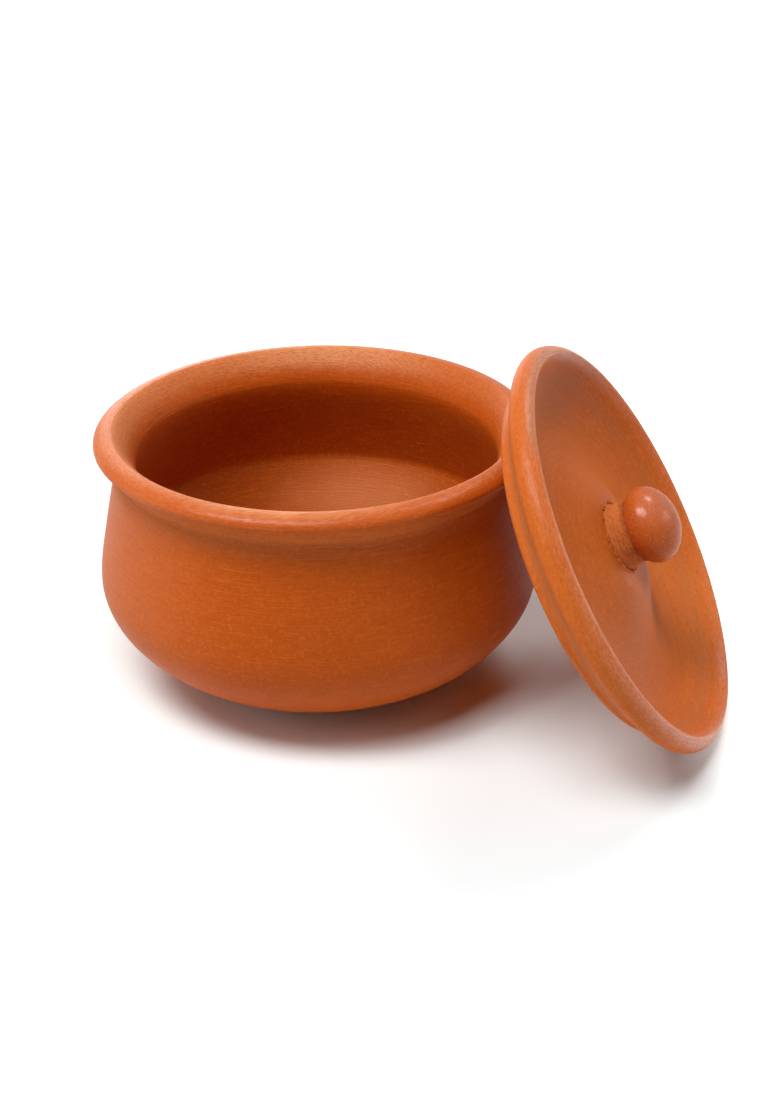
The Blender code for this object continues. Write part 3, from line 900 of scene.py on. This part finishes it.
def slip_clay(kit, colours, s, at, place):
    """Matte slip, rough with scored lines and grains, with painted shade in the crease under the ball."""
    clay = Clay("slip_clay_scored", kit, 0.2, place)
    lines = clay.effect("lines", pitch=0.0005, run=3.0, seed=4.0)
    mottle = clay.effect("mottle", patch_size=0.009, seed=3.0)
    pits = clay.effect("pits", spacing=0.002, size=0.0004, share=0.5)
    # Painted shade in the crease where the collar meets the ball
    crease_shade = clay.band(at["bore"] + s.collar_wall, at["knob_centre"] - 0.5 * s.half_height, width=0.0035,
                     raggedness=0.9)
    grain = mottle["Grain"]
    base = clay.layers(opaque(colours.slip), (lines["Streaks"], 0.4, colours.pot_deep),
                       (crease_shade, 0.8, colours.smoke_and_shade))
    base = clay.grained(base, grain, 0.6, colours.smoke_and_shade, colours.grit)
    base = clay.layers(base, (pits["Grit"], 0.5, colours.grit))
    rough = clay.plus(clay.times(grain, 0.2), 0.65)
    relief = clay.minus(clay.plus(clay.times(lines["Lines"], 0.7), grain), clay.times(pits["Pits"], 0.8))
    return clay.finish(base, rough, relief, 0.0006)


# Pieces

class CURDPOT_OT_pot(bpy.types.Operator):
    """Builds the pot's thrown wall."""

    bl_idname = "curdpot.pot"
    bl_label = "Build Pot"

    def execute(self, context):
        s, kit = context.scene.pot_sizes, tools()
        clay = pot_clay(kit, context.scene.clay_colours, s)
        pot = shape_with(kit["wheel"], "pot_wall", pot_profile(s),
                         {"Steps": s.steps, "Unevenness": s.unevenness, "Seed": 1.0, "Clay": clay}, Matrix())
        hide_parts("curd_pot")
        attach(pot, "pot")
        return {"FINISHED"}


class CURDPOT_OT_lid(bpy.types.Operator):
    """Builds the lid's turned dish."""

    bl_idname = "curdpot.lid"
    bl_label = "Build Lid"

    def execute(self, context):
        s, kit = context.scene.lid_sizes, tools()
        at, place, _ = lid_layout(context.scene)
        clay = lid_clay(kit, context.scene.clay_colours, s, at, place)
        lid = shape_with(kit["wheel"], "lid_plate", lid_profile(s, at),
                         {"Steps": s.steps, "Unevenness": s.unevenness, "Seed": 2.0, "Clay": clay}, place)
        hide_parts("lid_dish")
        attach(lid, "lid")
        return {"FINISHED"}


class CURDPOT_OT_knob(bpy.types.Operator):
    """Builds the ball knob."""

    bl_idname = "curdpot.knob"
    bl_label = "Build Knob"

    def execute(self, context):
        s, kit = context.scene.knob_sizes, tools()
        at, _, place = lid_layout(context.scene)
        clay = knob_clay(kit, context.scene.clay_colours, at, place)
        knob = shape_with(kit["wheel"], "knob_ball", knob_profile(s, at),
                          {"Steps": s.steps, "Unevenness": s.unevenness, "Seed": 3.0, "Clay": clay}, place)
        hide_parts("lid_knob")
        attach(knob, "lid")
        return {"FINISHED"}


class CURDPOT_OT_collar(bpy.types.Operator):
    """Builds the scored collar of slip, and the crumbs left round its foot."""

    bl_idname = "curdpot.collar"
    bl_label = "Build Slip Collar"

    def execute(self, context):
        s, kit = context.scene.knob_sizes, tools()
        at, _, place = lid_layout(context.scene)
        clay = slip_clay(kit, context.scene.clay_colours, s, at, place)
        profile = collar_profile(s, at)
        collar = shape_with(kit["wheel"], "slip_collar", profile,
                            {"Steps": s.steps, "Unevenness": s.unevenness, "Score Depth": s.score_depth,
                             "Score Pitch": s.score_pitch, "Seed": 4.0, "Clay": clay}, place)
        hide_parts("knob_slip_collar")
        crumbs = shape_with(kit["crumbs"], "slip_crumbs", profile[:2],
                            {"Count": s.crumbs, "Ring Radius": at["collar_foot"],
                             "Ring Height": at["boss_top"], "Spread": s.crumb_spread,
                             "Crumb Radius": s.crumb_size, "Seed": 3, "Clay": clay}, place)
        for piece in (collar, crumbs):
            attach(piece, "lid")
        return {"FINISHED"}


# Stage

class CURDPOT_OT_stage(bpy.types.Operator):
    """Builds the floor, the lamps and the camera."""

    bl_idname = "curdpot.stage"
    bl_label = "Build Stage"

    def lamp(self, s, name, size, turn, rise):
        """A round soft lamp that looks at the pot."""
        data = bpy.data.lights.new(name, "AREA")
        data.shape = "DISK"
        data.size = size
        data.energy = getattr(s, name)
        way = Vector((s.lamp_distance, 0.0, 0.0))
        way.rotate(Euler((0.0, -math.radians(rise), math.radians(turn))))
        lamp = add_object(name, data)
        lamp.location = Vector(LAMP_TARGET) + way
        lamp.rotation_euler = (-way).to_track_quat("-Z", "Y").to_euler()

    def eye(self, net):
        """1 for what the eye sees, straight or in a reflection, and 0 for light on its way to the pot."""
        seen = net.put("ShaderNodeLightPath").outputs
        straight = net.math("MAXIMUM", seen["Is Camera Ray"], seen["Is Glossy Ray"])
        return net.math("MAXIMUM", straight, seen["Is Transmission Ray"])

    def floor(self, s):
        """A pale floor that keeps the pot's shadow, turns white further away, and has painted light that
        lightens shadows on its left and right.
        """
        mesh = bpy.data.meshes.new("floor")
        half = 0.5 * s.floor_size
        corners = [(-half, -half, 0), (half, -half, 0), (half, half, 0), (-half, half, 0)]
        mesh.from_pydata(corners, [], [(0, 1, 2, 3)])
        floor = add_object("floor", mesh)
        paint = bpy.data.materials.new("floor_paint")
        paint.use_nodes = True
        net = Nodes(paint.node_tree)
        net.tree.nodes.clear()
        matte = net.put("ShaderNodeBsdfDiffuse", {"Color": opaque(s.floor_colour)})
        here = net.put("ShaderNodeTexCoord").outputs["Object"]
        away, right = net.size(here), net.parts(here)[0]
        # Painted light: the glow to the eye also lightens the pot's shadow on its left, and starts nearer on
        # the right, where it lightens the lid's shadow
        lift = net.math("MAXIMUM", net.spread(away, s.glow_start, s.glow_full, 0.0, s.floor_glow),
                        net.spread(right, s.glow_right, s.glow_right + s.glow_soft, 0.0, s.floor_glow))
        shade = net.times(net.spread(away, s.shade_start, s.shade_full),
                          net.spread(right, s.shade_right, 0.0, 0.0, s.shade_lift))
        lift = net.math("MAXIMUM", lift, shade)
        glow = net.put("ShaderNodeEmission", {"Strength": net.times(self.eye(net), lift)})
        both = net.put("ShaderNodeAddShader", {0: matte.outputs[0], 1: glow.outputs[0]})
        net.put("ShaderNodeOutputMaterial", {"Surface": both.outputs[0]})
        net.arrange()
        mesh.materials.append(paint)

    def sky(self):
        """A backdrop that is white to the eye, and gives the pot no light."""
        world = bpy.data.worlds.new("soft_light")
        world.use_nodes = True
        net = Nodes(world.node_tree)
        net.tree.nodes.clear()
        white = net.put("ShaderNodeBackground", {"Color": (1, 1, 1, 1), "Strength": self.eye(net)})
        net.put("ShaderNodeOutputWorld", {"Surface": white.outputs[0]})
        net.arrange()
        bpy.context.scene.world = world

    def camera(self, s):
        """The camera, which looks down on the pot from in front."""
        data = bpy.data.cameras.new("camera")
        data.lens = s.focal_length
        data.sensor_width = 36.0
        data.sensor_fit = "AUTO"
        data.clip_start = 0.01
        data.clip_end = 100.0
        camera = add_object("camera", data)
        turn = Matrix.Rotation(s.eye_turn, 4, "Z")
        tilt = Matrix.Rotation(math.radians(90) - s.eye_pitch, 4, "X")
        roll = Matrix.Rotation(s.eye_roll, 4, "Z")
        camera.matrix_world = Matrix.Translation((0.0, -s.eye_distance, s.eye_height)) @ turn @ tilt @ roll
        bpy.context.scene.camera = camera

    def execute(self, context):
        s = context.scene.stage_settings
        self.floor(s)
        self.sky()
        for name, size, turn, rise in LAMPS:
            self.lamp(s, name, size, turn, rise)
        self.camera(s)
        context.scene.view_settings.view_transform = "Standard"
        return {"FINISHED"}


class CURDPOT_PT_panel(bpy.types.Panel):
    """Sizes, colours and builders of the clay curd pot."""

    bl_label = "Clay Curd Pot"
    bl_idname = "CURDPOT_PT_panel"
    bl_space_type = "VIEW_3D"
    bl_region_type = "UI"
    bl_category = "Clay Pot"

    def draw(self, context):
        for title, settings, buttons in (
            ("Pot", context.scene.pot_sizes, (CURDPOT_OT_pot,)),
            ("Lid", context.scene.lid_sizes, (CURDPOT_OT_lid,)),
            ("Knob", context.scene.knob_sizes, (CURDPOT_OT_knob, CURDPOT_OT_collar)),
            ("Colours", context.scene.clay_colours, ()),
            ("Stage", context.scene.stage_settings, (CURDPOT_OT_stage,)),
        ):
            box = self.layout.box()
            box.label(text=title)
            for name in settings.__annotations__:
                box.prop(settings, name)
            for button in buttons:
                box.operator(button.bl_idname)


SETTINGS = {"pot_sizes": PotSizes, "lid_sizes": LidSizes, "knob_sizes": KnobSizes,
            "clay_colours": ClayColours, "stage_settings": StageSettings}
CLASSES = (*SETTINGS.values(), CURDPOT_OT_pot, CURDPOT_OT_lid, CURDPOT_OT_knob, CURDPOT_OT_collar,
           CURDPOT_OT_stage, CURDPOT_PT_panel)


def register():
    for cls in CLASSES:
        bpy.utils.register_class(cls)
    for name, cls in SETTINGS.items():
        setattr(bpy.types.Scene, name, PointerProperty(type=cls))


def unregister():
    for name in SETTINGS:
        delattr(bpy.types.Scene, name)
    for cls in reversed(CLASSES):
        bpy.utils.unregister_class(cls)


def main():
    register()
    bpy.ops.curdpot.stage()
    bpy.ops.curdpot.pot()
    bpy.ops.curdpot.lid()
    bpy.ops.curdpot.knob()
    bpy.ops.curdpot.collar()


if __name__ == "__main__":
    main()
